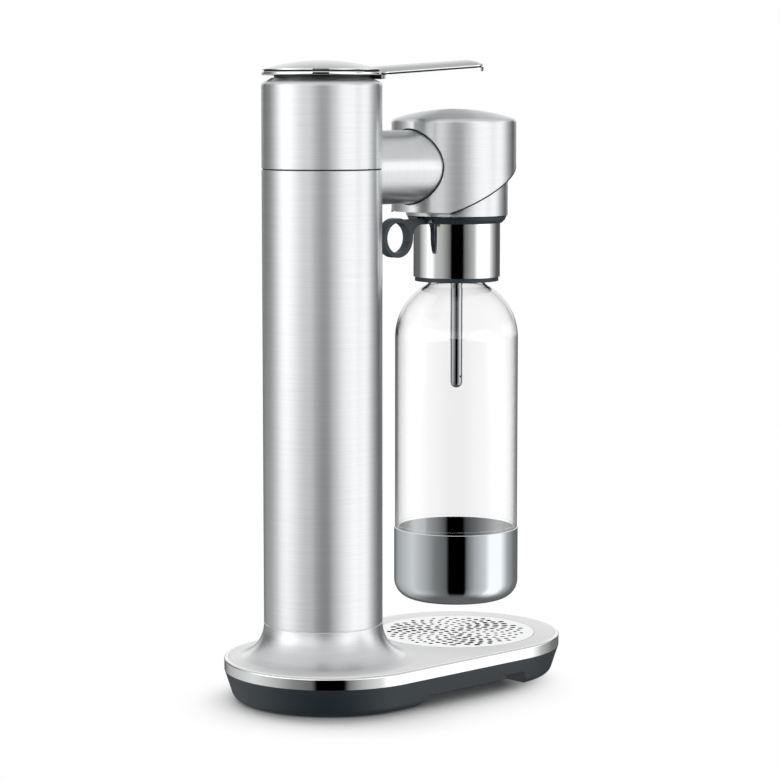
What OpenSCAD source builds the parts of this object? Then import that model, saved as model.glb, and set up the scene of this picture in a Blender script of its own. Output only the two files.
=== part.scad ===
// Lever-operated sparkling water maker with a gas cylinder in its column and a bottle hung from its head.
// Millimetres, +Z up. The origin is on the floor at the middle of the base, and the bottle stands towards -Y.

/* [Base] */
// Length of the base, front to back
base_len = 258; // [240:1:290]
// Width of the base
base_w = 143; // [136:1:170]
// Distance from the base's rear end to the column's axis
col_setback = 64; // [62:0.5:72]
// Distance from the base's front end to the bottle's axis
bottle_setback = 71.5; // [69:0.5:75]
// Height of the skid's top edge above the floor
skid_h = 19.7; // [18:0.1:26]
// Draft of the skid's side, in degrees
skid_draft = 18; // [8:1:22]
// Rounding of the skid's lower edge
skid_round = 6; // [4:0.5:8]
// Thickness of the skid's floor
skid_floor = 4.5; // [3.5:0.1:6]
// Wall of the skid round its notches and its rim
skid_wall = 3; // [2:0.1:4]
// Height of the hand notches above the floor
notch_h = 10.5; // [8:0.1:12]
// Length of the hand notches along their top
notch_len = 81; // [60:1:84]
// Distance from the base's middle to the middle of the notches, towards the bottle
notch_shift = 15.5; // [10:0.5:20]
// Half width of the solid spine between the notches
spine_half = 46; // [44:0.5:50]
// Slope of the notch's rear end, in degrees
notch_rear_slope = 32; // [25:1:60]
// Slope of the notch's front end, in degrees
notch_front_slope = 60; // [45:1:75]
// Rounding of the notch's upper corners
notch_round = 5; // [2:0.5:7]
// Radius of a rubber foot
foot_r = 7; // [5:0.1:8]
// Thickness of a rubber foot
foot_t = 3; // [2:0.1:4]
// How far a foot stands out below the skid
foot_proud = 0.5; // [0.3:0.1:2]
// Height of the polished edge band
band_h = 7.7; // [6:0.1:11]
// Thickness of the edge band
band_t = 2.5; // [1.5:0.1:3]
// Rounding of the edge band's top edge
band_round = 1.2; // [0.4:0.1:1.4]
// Thickness of the deck
deck_t = 4; // [3.6:0.1:5]
// Wall of the deck's rim and of its flare
deck_wall = 3; // [2:0.1:4]
// Height of the flare from the deck to the column
flare_h = 23.8; // [16:0.1:30]
// Angle at which the flare leaves the deck, in degrees
flare_blend = 5; // [4:0.5:12]
// Radius of the shank of a base screw
screw_r = 2; // [1.5:0.1:2.5]

/* [Drip tray] */
// Radius of the drip grille
grille_r = 54.4; // [50:0.1:58]
// Thickness of the drip grille
grille_t = 1.2; // [0.8:0.1:1.6]
// Plain margin round the grille's holes
grille_margin = 5; // [3:0.5:9]
// Number of holes in the grille
grille_holes = 190; // [90:1:230]
// Mean radius of a grille hole
grille_hole_r = 2; // [1:0.05:2.2]
// Radius of the drip cup
cup_tray_r = 46; // [40:0.5:47]
// Depth of the drip cup below its flange
cup_tray_depth = 10; // [6:0.1:11]
// Wall of the drip cup
cup_tray_wall = 1.2; // [0.8:0.1:2]

/* [Column] */
// Radius of the column
col_r = 39.25; // [38:0.05:42]
// Wall of the column tube and the sleeve
col_wall = 1.5; // [1:0.1:2]
// Distance from the sleeve's top down to the seam and to the arm's axis
seam_drop = 58.7; // [50:0.1:66]
// Height of the sleeve's top
sleeve_top = 408.7; // [404:0.1:425]
// Radius at which the sleeve's sloping shoulder ends
shoulder_r = 32.5; // [32:0.1:34]
// Slope of the sleeve's shoulder, in degrees
shoulder_slope = 25; // [15:1:30]
// Rounding of the sleeve's upper edge
shoulder_round = 3; // [1:0.1:4]
// Thickness of the gasket in the upper seam
gasket_t = 0.9; // [0.5:0.1:1.5]
// Depth of the two seam grooves
seam_depth = 0.65; // [0.3:0.05:0.9]
// Height of the lower seam groove
seam_gap = 0.6; // [0.2:0.05:0.8]
// Length of the deck's spigot inside the tube
spigot_h = 12; // [6:1:25]

/* [Arm and head] */
// Radius of the arm
arm_r = 24.5; // [20:0.1:26]
// Wall of the arm
arm_wall = 2; // [1.5:0.1:3]
// Radius of the head drum
head_r = 42.4; // [41:0.1:46]
// Wall of the head drum
head_wall = 2.2; // [1.5:0.1:3]
// Distance of the drum's axis behind the bottle's axis
head_back = 3; // [0:0.1:4]
// Distance from the arm's axis down to the drum's lower edge
drum_drop = 30.5; // [29:0.1:33]
// Distance from the arm's axis up to the top of the drum's dome
drum_rise = 38.6; // [34:0.1:46]
// Rise of the drum's dome
head_dome = 7; // [4:0.1:9]
// Rounding between the drum and its dome
head_round = 3; // [1.5:0.1:5]
// Slope of the drum's slanted lower edge, in degrees
slant = 27; // [15:1:30]
// Distance behind the drum's axis at which the slanted edge starts
slant_back = 31.2; // [26:0.1:36]
// Radius of the head core
core_r = 34.7; // [34:0.1:36]
// Wall of the head core round its socket
core_wall = 2; // [1.5:0.1:2.5]
// Height of the head core
core_h = 57; // [52:0.5:60]

/* [Lever] */
// Radius of the lever's disc
lever_r = 39; // [38:0.1:41]
// Height of the lever's rim under its dome, with its band, groove and lip
rim_h = 3.7; // [3.2:0.1:4.4]
// Height of the shadow groove over the lever's edge band
groove_h = 1.1; // [0.6:0.1:1.3]
// Depth of the shadow groove
groove_d = 1; // [0.5:0.1:1.3]
// Width of the lever's rim under its dome
rim_w = 3; // [2:0.1:3.2]
// Gap under the lever's rim at rest
rim_gap = 1.8; // [1.8:0.1:3]
// Rise of the lever's dome above its rim
lever_dome = 5.8; // [5.2:0.1:9]
// Thickness of the lever's dome
lever_t = 2; // [1.4:0.1:2.2]
// Distance from the column's axis to the tip of the lever's tongue
tongue_reach = 142; // [110:1:160]
// Half width of the tongue
tongue_half = 14.5; // [10:0.1:17]
// Height of the tongue's edge band
tongue_band = 2.6; // [1.5:0.1:3]
// Height of the tongue's crown above its lip
tongue_crown = 3.9; // [2:0.1:5]
// Upward slope of the tongue, in degrees
tongue_slope = 3.5; // [1:0.1:6]
// Drop of the tongue's root below the lever's rim
tongue_drop = 2.4; // [0.8:0.1:2.6]
// Radius of the fillets between the disc and the tongue
tongue_fillet = 18; // [10:0.5:24]
// Distance of the lever's pin behind the column's axis
hinge_back = 22; // [20:0.1:23]
// Depth of the lever's pin below the sleeve's top
hinge_drop = 15.7; // [15:0.1:20]
// Radius of the lever's pin
pin_r = 2.5; // [1.5:0.1:3]
// Outer radius of the dark neck under the lever
neck_r = 31; // [30.5:0.1:31.8]
// Width of the neck's ring
neck_w = 3; // [2:0.1:3.2]
// Height of the neck above the sleeve
neck_h = 2; // [1:0.1:2.1]

/* [Gas system] */
// Radius of the gas cylinder
gas_r = 30; // [28:0.1:30.2]
// Wall of the gas cylinder
gas_wall = 3; // [2:0.1:4]
// Height of the gas cylinder's bottom above the floor
gas_bottom = 10.5; // [9.8:0.1:14]
// Distance from the seam down to the gas cylinder's shoulder
gas_drop = 76; // [75:1:110]
// Radius of the gas cylinder's neck
gas_neck_r = 12; // [11:0.1:13]
// Radius of the cylinder valve's stem
stem_r = 10.5; // [9:0.1:11.5]
// Radius of the cylinder valve's nose
nose_r = 7; // [6:0.1:7.5]
// Length of the cylinder valve's nose
nose_len = 16; // [10:0.5:16]
// Radius of the valve block
block_r = 20; // [18:0.1:22]
// Radius of the push rod
rod_r = 3; // [2:0.1:3.5]
// Radius of the push rod's head
rod_head_r = 8; // [7.8:0.1:9]
// Wire radius of the return spring
wire_r = 0.8; // [0.5:0.05:1]
// Number of curls of the return spring
curls = 5; // [4:1:6]
// Radius of the gas pipe
pipe_r = 2.5; // [2:0.1:3]
// Wall of the inner frame
frame_wall = 1.8; // [1.2:0.1:2.2]
// Radius of the hatch under the gas cylinder
hatch_r = 34; // [32:0.1:35]

/* [Cap and bottle] */
// Radius of the chrome collar
collar_r = 29.6; // [29:0.1:31]
// Wall of the chrome collar
collar_wall = 1.4; // [1:0.1:1.8]
// Height of the chrome collar
collar_h = 36.7; // [35:0.1:40]
// Distance from the drum's lower edge down to the underside of the cap's lip
lip_drop = 8.1; // [7.5:0.1:10]
// Height of the cap's lip
lip_h = 4.6; // [4.4:0.1:5.2]
// Largest radius of the cap's lip
lip_r = 34; // [33:0.1:34.6]
// Radius of the plug that enters the head
plug_r = 26; // [24:0.1:27]
// Height of the plug above the lip
plug_h = 10.4; // [7:0.1:10.5]
// Height of the dark ring under the collar
cap_ring_h = 3; // [1:0.1:3.5]
// Outer radius of the release ring, as a share of the room between the collar and the column
ring_share = 0.246; // [0.225:0.001:0.26]
// Wall of the release ring
ring_wall = 2.95; // [2:0.05:3.5]
// Width of the release ring
ring_w = 7; // [5:0.1:8]
// Place of the release ring's centre in that room, as a share of it from the collar
ring_place = 0.52; // [0.48:0.01:0.55]
// Radius of the release ring's pin
ring_pin_r = 1.2; // [0.8:0.1:1.3]
// Radius of the dip tube
dip_r = 4; // [3:0.1:4.5]
// Wall of the dip tube
dip_wall = 0.7; // [0.4:0.1:1]
// Distance from the lip's underside down to the dip tube's tip
dip_len = 113.5; // [80:0.5:155]
// Outer radius of the bottle
bottle_r = 42.2; // [40:0.1:44]
// Wall of the bottle
bottle_wall = 1.8; // [1.2:0.1:2.5]
// Outer radius of the bottle's neck
bottle_neck_r = 19; // [17:0.1:20]
// Distance from the collar's lower edge down to the end of the bottle's straight neck
neck_drop = 2.7; // [2:0.1:8]
// Distance from the bottle's axis to the centre of its round shoulder
shoulder_mid = 1.2; // [0.5:0.1:6]
// Radius of the fillet between the bottle's shoulder and neck
neck_fillet = 4; // [2:0.5:6]
// Outer radius of the bottle's steel cup
cup_r = 42.75; // [42:0.05:45]
// Wall of the steel cup
cup_wall = 1; // [0.6:0.1:1.5]
// Height of the steel cup's rim
cup_top = 101.3; // [80:0.1:130]
// Height of the steel cup's bottom
cup_bottom = 52; // [45:0.1:60]
// Rounding of the steel cup's lower edge
cup_round = 13; // [6:0.5:15]

/* [Clearances] */
// Gap between pieces that are fitted together
fit = 0.15; // [0.1:0.01:0.2]
// Radial play of a pin or rod in its bore
play = 0.05; // [0.02:0.01:0.08]
// Gap between pieces that move past each other
run = 0.3; // [0.2:0.05:0.4]
// Gap round the arm where it enters the head
arm_gap = 1.1; // [0.8:0.1:1.4]

/* [Hidden] */
$fn = 96;

// Finishes
slate = "#3a4347";
satin = "#cfd2d3";
steel = "#c4c7c9";
mirror_steel = "#e2e5e7";
rubber = "#1d2022";
alloy = "#aab0b4";
brass = "#b8974f";
clear = [0.86, 0.92, 0.94, 0.35];

// Axes and plan
base_r = base_w / 2;
end_y = base_len / 2 - base_r;
col_y = base_len / 2 - col_setback;
bottle_y = bottle_setback - base_len / 2;
head_y = bottle_y + head_back;
deep = 600;
nick = 1;
bite = 0.02;

// Walls, rooms and rises of the inner works
gas_room = 1.5;
gas_neck_h = 4;
arm_room = 7;
block_rise = 4;
hex_wall = 3.5;
hex_room = 2;
hex_gap = 1.3;
seat_rise = 16;
chamber_h = 9;
rod_head_h = 8;
rod_drop = 4;
knuckle_wall = 2.5;
ear_wall = 3.5;
core_gap = 0.5;
nozzle_depth = 7;
nozzle_rise = 4;
mouth_drop = 10;
thread_room = 2.2;
hook_inset = 3;
hook_wall = 1.2;
web_round = 8;
pin_hold = 5;
dip_hold = 12;

// Base
skid_floor_z = foot_proud + skid_floor;
skid_round_z = foot_proud + skid_round;
skid_round_x = base_r - (skid_h - skid_round_z) * tan(skid_draft) - skid_round / cos(skid_draft);
skid_in_r = skid_round_x - skid_wall;
deck_z = skid_h + band_h;
deck_r = base_r - band_t - fit;
deck_low = deck_z - deck_t;
deck_seat = deck_low + deck_wall;
notch_rear_y = notch_len / 2 - notch_shift;
notch_front_y = -notch_len / 2 - notch_shift;
notch_rear_foot = notch_rear_y + notch_h / tan(notch_rear_slope);
notch_front_foot = notch_front_y - notch_h / tan(notch_front_slope);
screw_head_r = screw_r * 1.75;
screw_head_h = skid_floor / 2;
boss_r = screw_r + deck_wall;
boss_rear_r = hatch_r + skid_wall + boss_r + deck_wall;
boss_rear_a = 50;
boss_front_r = cup_tray_r + boss_r + nick;
boss_front_a = 43;
rear_bosses = [
    for (s = [-1, 1]) [s * boss_rear_r * cos(boss_rear_a), col_y + boss_rear_r * sin(boss_rear_a)]
];
front_bosses = [
    for (s = [-1, 1]) [s * boss_front_r * cos(boss_front_a), bottle_y - boss_front_r * sin(boss_front_a)]
];
boss_spots = concat(rear_bosses, front_bosses);
foot_x = skid_round_x - skid_wall - foot_r;
foot_front_x = foot_x * cos(boss_front_a);
foot_front_y = -end_y - foot_x * sin(boss_front_a) + 2 * foot_r;
foot_spots = [for (s = [-1, 1]) [s * foot_x, col_y], for (s = [-1, 1]) [s * foot_front_x, foot_front_y]];
hatch_lug_t = 2.5;
hatch_lug_w = 12;
hatch_lug_r = hatch_r + skid_wall;
hatch_turn = 45;
hatch_top = skid_floor_z + run + hatch_lug_t;
grip_r = hatch_r * 0.45;
grip_bar = 5;

// Drip tray
tray_flange_t = 0.8;
tray_depth = tray_flange_t + grille_t;
tray_seat = deck_z - tray_depth;
well_r = grille_r + run + deck_wall;
golden_turn = 137.508;
grille_pitch = (grille_r - grille_margin - grille_hole_r) / sqrt(grille_holes);

// Column
col_base = deck_z + flare_h;
col_foot = col_base + seam_gap;
col_in = col_r - col_wall;
flare_r = flare_h / cos(flare_blend);
flare_x = col_r + flare_r;
flare_toe = flare_x - flare_r * sin(flare_blend);
frame_r = gas_r + gas_room + frame_wall;
frame_in = frame_r - frame_wall;
deck_bore = frame_r + fit;
seam_z = sleeve_top - seam_drop;
arm_z = seam_z;
arm_notch_r = arm_r + run;
frame_top = arm_z - arm_r - arm_room;
shoulder_z = sleeve_top - (col_r - shoulder_r) * tan(shoulder_slope);
shoulder_c = [col_r - shoulder_round, shoulder_z - shoulder_round * tan(45 - shoulder_slope / 2)];
sleeve_roof = shoulder_c[1] - nick;
neck_in = neck_r - neck_w;
neck_flange_t = 2;
neck_flange_r = col_in - deck_wall;
neck_top = sleeve_top + neck_h;

// Lever
rim_z = sleeve_top + rim_gap;
rim_round = 0.7;
dome_lip = 0.4;
dome_inset = 0.5;
groove_inset = dome_inset + groove_d;
rim_band = rim_h - groove_h - dome_lip;
dome_edge = lever_r - dome_inset;
dome_r = (dome_edge * dome_edge + lever_dome * lever_dome) / (2 * lever_dome);
lever_top = rim_z + rim_h + lever_dome;
dome_c = lever_top - dome_r;
hinge_y = col_y + hinge_back;
hinge_z = sleeve_top - hinge_drop;
lug_half = 7;
knuckle_r = pin_r + knuckle_wall;
ear_t = 3;
ear_r = pin_r + ear_wall;
rod_top = neck_top - rod_drop;
boss_bottom = rod_top + run;
boss_half = 6;
tongue_z = rim_z - tongue_drop - lever_r * tan(tongue_slope);
tongue_tip = tongue_reach - tongue_half;
crown_low = tongue_band + groove_h;
crown_r = (tongue_half * tongue_half + tongue_crown * tongue_crown) / (2 * tongue_crown);
crown_len = tongue_tip + (crown_r - tongue_crown) * tan(tongue_slope);
root_in = lever_r - rim_w + run;
root_r = col_r + 2 * run;
fillet_x = tongue_half + tongue_fillet;
fillet_y = sqrt(pow(lever_r + tongue_fillet, 2) - fillet_x * fillet_x);

// Gas system
flange_t = 5;
block_low = frame_top + flange_t;
block_top = arm_z + arm_r + block_rise;
hex_r = stem_r + hex_wall;
hex_clear = hex_r + hex_room;
gas_dome = sqrt(gas_r * gas_r - gas_neck_r * gas_neck_r);
gas_shoulder = seam_z - gas_drop;
gas_top = gas_shoulder + gas_dome + gas_neck_h;
hex_top = block_low - hex_gap;
nose_z = block_low + seat_rise;
seal_t = 2;
nose_top = nose_z + nose_len;
step_z = nose_z + seal_t + 2 * play;
chamber_z = nose_top + seal_t;
chamber_r = 5;
chamber_top = chamber_z + chamber_h;
pin_bore_r = 1.5;
pipe_z = chamber_z + chamber_h / 2;
bracket_t = 3;
spring_low = block_top + run;
head_low = rod_top - rod_head_h;
spring_high = head_low - run;
spring_r = rod_head_r - wire_r - 2 * run;
spring_sides = 6;
spring_steps = 8;

// Head
head_bottom = arm_z - drum_drop;
head_top = arm_z + drum_rise;
lip_z = head_bottom - lip_drop;
core_low = lip_z + lip_h + core_gap;
core_top = core_low + core_h;
core_bore = core_r - core_wall;
plug_top = lip_z + lip_h + plug_h;
seal_z = plug_top + run;
head_seal_t = 1.6;
roof_z = seal_z + head_seal_t;
roof_t = 9;
socket_top = roof_z + roof_t;
nozzle_r = 4;
nozzle_low = plug_top - nozzle_depth;
nozzle_top = socket_top + nozzle_rise;
dome_sphere = (head_r * head_r + head_dome * head_dome) / (2 * head_dome);
slant_deep = 2 * head_r;

// Cap and bottle
lip_chamfer = 2.2;
lip_foot_r = lip_r - nick;
collar_bottom = lip_z - collar_h;
dip_tip = lip_z - dip_len;
mouth_z = lip_z - mouth_drop;
cap_gasket_t = 1.4;
cap_under = mouth_z + cap_gasket_t + play;
skirt_in = bottle_neck_r + thread_room;
skirt_r = collar_r - collar_wall - fit;
hook_y = bottle_y + lip_r - hook_inset;
hook_z = lip_z + lip_chamfer;
hook_r = ring_pin_r + hook_wall;
hook_half = ring_w / 2 + run;
ring_room = col_y - bottle_y - col_r - collar_r;
ring_r = ring_room * ring_share;
ring_y = bottle_y + collar_r + ring_room * ring_place;
ring_z = hook_z + hook_r - ring_r;
ring_pin_half = hook_half + pin_hold;
dip_top = cap_under + dip_hold;
shoulder_arc = bottle_r - shoulder_mid;
shoulder_rise = sqrt(pow(shoulder_arc + neck_fillet, 2) - pow(bottle_neck_r + neck_fillet - shoulder_mid, 2));
fillet_z = collar_bottom - neck_drop;
bottle_shoulder = fillet_z - shoulder_rise;
bottle_low = cup_bottom + cup_wall + fit;
bottle_low_r = cup_r - cup_wall - fit;

// Solid that runs round the base's plan: the 2D profile is revolved at both ends and drawn straight between
module stadium(half) {
    for (turn = [0, 180])
        rotate([0, 0, turn])
            translate([0, half, 0])
                rotate_extrude(angle = 180)
                    children();
    rotate([90, 0, 0])
        linear_extrude(2 * half, center = true) {
            children();
            mirror([1, 0])
                children();
        }
}

// Plain slab of the base's plan
module slab(r, low, high) {
    stadium(end_y)
        translate([0, low])
            square([r, high - low]);
}

// Tube or ring about a vertical axis
module ring(outer, inner, low, high) {
    translate([0, 0, low])
        difference() {
            cylinder(r = outer, h = high - low);
            translate([0, 0, -nick])
                cylinder(r = inner, h = high - low + 2 * nick);
        }
}

// Upright round bar or bore
module bar(r, low, high) {
    translate([0, 0, low])
        cylinder(r = r, h = high - low);
}

// Bar along Y, from y0 to y1
module bar_y(r, y0, y1) {
    translate([0, y1, 0])
        rotate([90, 0, 0])
            cylinder(r = r, h = y1 - y0);
}

// Bar along X, centred
module bar_x(r, half) {
    rotate([0, 90, 0])
        cylinder(r = r, h = 2 * half, center = true);
}

// Rectangle from the axis with its outer corners rounded
module soft_edge(w, h, q) {
    square([w - q, h]);
    translate([0, q])
        square([w, h - 2 * q]);
    for (v = [q, h - q])
        translate([w - q, v])
            circle(q);
}

// Places at the column's axis and at the bottle's axis
module at_column() {
    translate([0, col_y, 0])
        children();
}

module at_bottle() {
    translate([0, bottle_y, 0])
        children();
}

// Base

module skid_profile() {
    tangent_x = skid_round_x + skid_round * cos(skid_draft);
    tangent_z = skid_round_z - skid_round * sin(skid_draft);
    polygon([
        [0, foot_proud], [skid_round_x, foot_proud], [skid_round_x, tangent_z], [tangent_x, tangent_z],
        [base_r, skid_h], [0, skid_h]
    ]);
    intersection() {
        translate([skid_round_x, skid_round_z])
            circle(skid_round);
        translate([skid_round_x, foot_proud])
            square([skid_round, tangent_z - foot_proud]);
    }
}

// Side view of a hand notch, with its two upper corners rounded
module notch_profile() {
    rear_c = [notch_rear_y - notch_round * tan(notch_rear_slope / 2), notch_h - notch_round];
    front_c = [notch_front_y + notch_round * tan(notch_front_slope / 2), notch_h - notch_round];
    polygon([
        [notch_rear_foot, 0],
        rear_c + notch_round * [sin(notch_rear_slope), cos(notch_rear_slope)],
        rear_c + [0, notch_round],
        front_c + [0, notch_round],
        front_c + notch_round * [-sin(notch_front_slope), cos(notch_front_slope)],
        [notch_front_foot, 0]
    ]);
    for (c = [rear_c, front_c])
        translate(c)
            circle(notch_round - bite);
}

module hand_notches() {
    for (side = [0, 1])
        mirror([side, 0, 0])
            translate([spine_half, 0, 0])
                rotate([90, 0, 90])
                    linear_extrude(base_r)
                        notch_profile();
}

module skid_hollow() {
    difference() {
        slab(skid_in_r, skid_floor_z, skid_h + nick);
        for (side = [0, 1])
            mirror([side, 0, 0])
                translate([spine_half - skid_wall, notch_front_foot - skid_wall, 0])
                    cube([base_r, notch_rear_foot - notch_front_foot + 2 * skid_wall, notch_h + skid_wall]);
    }
}

module base_skid() {
    color(slate)
        difference() {
            stadium(end_y)
                skid_profile();
            hand_notches();
            skid_hollow();
            at_column()
                bar(hatch_r + run, 0, skid_h);
            at_column()
                rotate([0, 0, hatch_turn])
                    translate([-hatch_lug_r - run, -hatch_lug_w / 2 - run, 0])
                        cube([2 * (hatch_lug_r + run), hatch_lug_w + 2 * run, skid_h]);
            for (p = foot_spots)
                translate(p)
                    bar(foot_r + fit, 0, foot_t);
            for (p = boss_spots)
                translate(p) {
                    bar(screw_r + fit, 0, skid_h);
                    bar(screw_head_r + fit, 0, foot_proud + screw_head_h);
                    bar(boss_r + fit, skid_floor_z, skid_h + nick);
                }
        }
}

// Section of the flare, its seat for the tube and the spigot inside the tube
module flare_profile() {
    difference() {
        translate([0, deck_low])
            square([flare_toe, col_base - deck_low]);
        translate([flare_x, col_base])
            circle(flare_r);
    }
    translate([0, deck_low])
        square([col_r - seam_depth, col_foot - deck_low]);
    translate([0, deck_low])
        square([col_in - fit, col_foot + spigot_h - deck_low]);
}

// Hollow under the flare, one wall inside its outer face
module flare_hollow() {
    difference() {
        translate([deck_bore + deck_wall, skid_h])
            square([flare_toe - deck_bore - deck_wall, col_base - deck_wall - skid_h]);
        translate([flare_x, col_base])
            circle(flare_r + deck_wall);
    }
}

// Deck plate with its flare, without holes or hollows
module deck_body(low) {
    intersection() {
        slab(deck_r, low, col_foot + spigot_h + nick);
        union() {
            slab(deck_r, low, deck_z);
            at_column()
                rotate_extrude()
                    flare_profile();
        }
    }
}

module base_deck() {
    color(satin)
        difference() {
            union() {
                difference() {
                    deck_body(deck_low);
                    at_column()
                        rotate_extrude()
                            flare_hollow();
                }
                difference() {
                    slab(deck_r, skid_h, deck_z - nick);
                    slab(deck_r - deck_wall, skid_h - nick, deck_z);
                }
                intersection() {
                    deck_body(skid_floor_z);
                    for (p = rear_bosses)
                        translate(p)
                            bar(boss_r, skid_floor_z, col_base);
                }
            }
            at_column() {
                bar(frame_in, 0, deep);
                bar(deck_bore, deck_seat, deep);
            }
            at_bottle()
                bar(grille_r + run, 0, deep);
            for (p = rear_bosses)
                translate(p)
                    bar(screw_r + play, 0, deck_low - nick);
        }
}

// Ring under the deck that seats the drip tray, with a screw boss on either side
module tray_well() {
    color(slate)
        difference() {
            union() {
                at_bottle() {
                    bar(well_r, deck_low - deck_wall, deck_low);
                    bar(grille_r + run - fit, deck_low - nick, tray_seat);
                }
                for (p = front_bosses)
                    translate(p)
                        bar(boss_r, skid_floor_z, deck_low);
            }
            at_bottle()
                bar(cup_tray_r + run, 0, deep);
            for (p = front_bosses)
                translate(p)
                    bar(screw_r + play, 0, deck_low - nick);
        }
}

module edge_band() {
    color(mirror_steel)
        stadium(end_y)
            translate([base_r - band_t, skid_h]) {
                square([band_t - band_round, band_h]);
                square([band_t, band_h - band_round]);
                translate([band_t - band_round, band_h - band_round])
                    circle(band_round);
            }
}

module rubber_feet() {
    color(rubber)
        for (p = foot_spots)
            translate(p)
                bar(foot_r, 0, foot_t);
}

module base_screws() {
    color(steel)
        for (p = boss_spots)
            translate(p)
                difference() {
                    union() {
                        bar(screw_head_r, foot_proud + fit, foot_proud + screw_head_h);
                        bar(screw_r, foot_proud + fit, deck_low - 2 * nick);
                    }
                    bar(screw_r / 2, 0, foot_proud + screw_head_h / 2);
                }
}

// Twist-off cover with two bayonet lugs and a grip bar across a round recess
module hatch_cover() {
    color(slate)
        at_column()
            difference() {
                union() {
                    bar(hatch_r, foot_proud, skid_floor_z);
                    bar(hatch_r - skid_wall, skid_floor_z - nick, hatch_top);
                    intersection() {
                        bar(hatch_lug_r, skid_floor_z + run, hatch_top);
                        translate([-hatch_lug_r, -hatch_lug_w / 2, 0])
                            cube([2 * hatch_lug_r, hatch_lug_w, hatch_top]);
                    }
                }
                difference() {
                    bar(grip_r, 0, skid_floor_z);
                    translate([-grip_r, -grip_bar / 2, 0])
                        cube([2 * grip_r, grip_bar, hatch_top]);
                }
            }
}

// Drip tray

module drip_cup() {
    color(slate)
        at_bottle()
            difference() {
                union() {
                    bar(grille_r, tray_seat, tray_seat + tray_flange_t);
                    bar(cup_tray_r, tray_seat - cup_tray_depth, tray_seat + tray_flange_t);
                }
                bar(cup_tray_r - cup_tray_wall, tray_seat - cup_tray_depth + cup_tray_wall, deep);
            }
}

// Holes on a sunflower spiral, each a pair of overlapping rounds so that they look irregular
module grille_hole(i) {
    turn = i * golden_turn;
    size = grille_hole_r * (0.82 + 0.18 * sin(turn * 3));
    rotate(turn)
        translate([grille_pitch * sqrt(i + 0.5), 0])
            rotate(turn * 2) {
                circle(size, $fn = 24);
                translate([size * 0.7, 0])
                    circle(size * 0.75, $fn = 24);
            }
}

module drip_grille() {
    color(mirror_steel)
        at_bottle()
            translate([0, 0, deck_z - grille_t])
                linear_extrude(grille_t)
                    difference() {
                        circle(grille_r);
                        for (i = [0 : grille_holes - 1])
                            grille_hole(i);
                    }
}

// Column

module arm_notch() {
    translate([0, 0, arm_z])
        bar_y(arm_notch_r, -col_r - nick, 0);
}

module column_tube() {
    color(steel)
        at_column()
            difference() {
                ring(col_r, col_in, col_foot, seam_z - gasket_t / 2);
                arm_notch();
            }
}

module seam_gasket() {
    color(rubber)
        at_column()
            difference() {
                ring(col_r - seam_depth, col_in, seam_z - gasket_t / 2, seam_z + gasket_t / 2);
                arm_notch();
            }
}

// Outer section of the sleeve, with a rounded edge and a sloping shoulder
module sleeve_profile() {
    low = seam_z + gasket_t / 2;
    polygon([
        [0, low], [col_r, low], [col_r, shoulder_c[1]], shoulder_c,
        shoulder_c + shoulder_round * [sin(shoulder_slope), cos(shoulder_slope)],
        [shoulder_r, sleeve_top], [0, sleeve_top]
    ]);
    intersection() {
        translate(shoulder_c)
            circle(shoulder_round);
        translate(shoulder_c)
            square(shoulder_round);
    }
}

module upper_sleeve() {
    color(steel)
        at_column()
            difference() {
                rotate_extrude()
                    sleeve_profile();
                bar(col_in, seam_z - nick, sleeve_roof);
                bar(neck_r + fit, seam_z, deep);
                arm_notch();
            }
}

module lever_neck() {
    color(slate)
        at_column() {
            ring(neck_r, neck_in, sleeve_roof - neck_flange_t - fit, neck_top);
            ring(neck_flange_r, neck_in, sleeve_roof - neck_flange_t - fit, sleeve_roof - fit);
        }
}

// Tube that carries the valve block, with windows on both sides
module inner_frame() {
    window_h = (frame_top - col_foot) / 4;
    color(alloy)
        at_column()
            difference() {
                ring(frame_r, frame_in, deck_seat, frame_top);
                for (k = [0 : 2])
                    translate([0, 0, col_foot + spigot_h + (k + 0.5) * window_h])
                        bar_x(window_h / 3, col_r);
            }
}

// Gas system

module gas_profile(inset) {
    square([gas_r - inset, gas_shoulder - gas_bottom]);
    translate([0, gas_shoulder - gas_bottom])
        intersection() {
            circle(gas_r - inset);
            square(gas_r);
        }
}

module co2_cylinder() {
    color(alloy)
        at_column()
            difference() {
                union() {
                    translate([0, 0, gas_bottom])
                        rotate_extrude()
                            gas_profile(0);
                    bar(gas_neck_r, gas_shoulder, gas_top);
                }
                translate([0, 0, gas_bottom])
                    rotate_extrude()
                        intersection() {
                            gas_profile(gas_wall);
                            translate([0, gas_wall])
                                square(deep);
                        }
                bar(gas_neck_r / 2, gas_shoulder, gas_top + nick);
            }
}

module cylinder_valve() {
    color(brass)
        at_column()
            difference() {
                union() {
                    translate([0, 0, gas_top])
                        cylinder(r = hex_r, h = hex_top - gas_top, $fn = 6);
                    bar(stem_r, hex_top - nick, nose_z);
                    bar(nose_r, nose_z - nick, nose_top);
                }
                bar(pin_bore_r + play, nose_z, nose_top + nick);
            }
}

module valve_pin() {
    color(steel)
        at_column()
            bar(pin_bore_r, nose_z + seal_t, nose_top + seal_t);
}

module valve_seal() {
    color(rubber)
        at_column()
            ring(stem_r - play, nose_r + run, nose_z + play, nose_z + play + seal_t);
}

module valve_block() {
    color(alloy)
        at_column()
            difference() {
                union() {
                    bar(frame_r, frame_top, block_low);
                    bar(block_r, frame_top, block_top);
                }
                bar(hex_clear, frame_top - nick, block_low);
                bar(stem_r + play, frame_top, step_z);
                bar(nose_r + run, frame_top, chamber_z);
                bar(chamber_r, frame_top, chamber_top);
                bar(rod_r + play, frame_top, block_top + nick);
                translate([0, 0, pipe_z])
                    bar_y(pipe_r + play, -block_r - nick, 0);
            }
}

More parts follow.
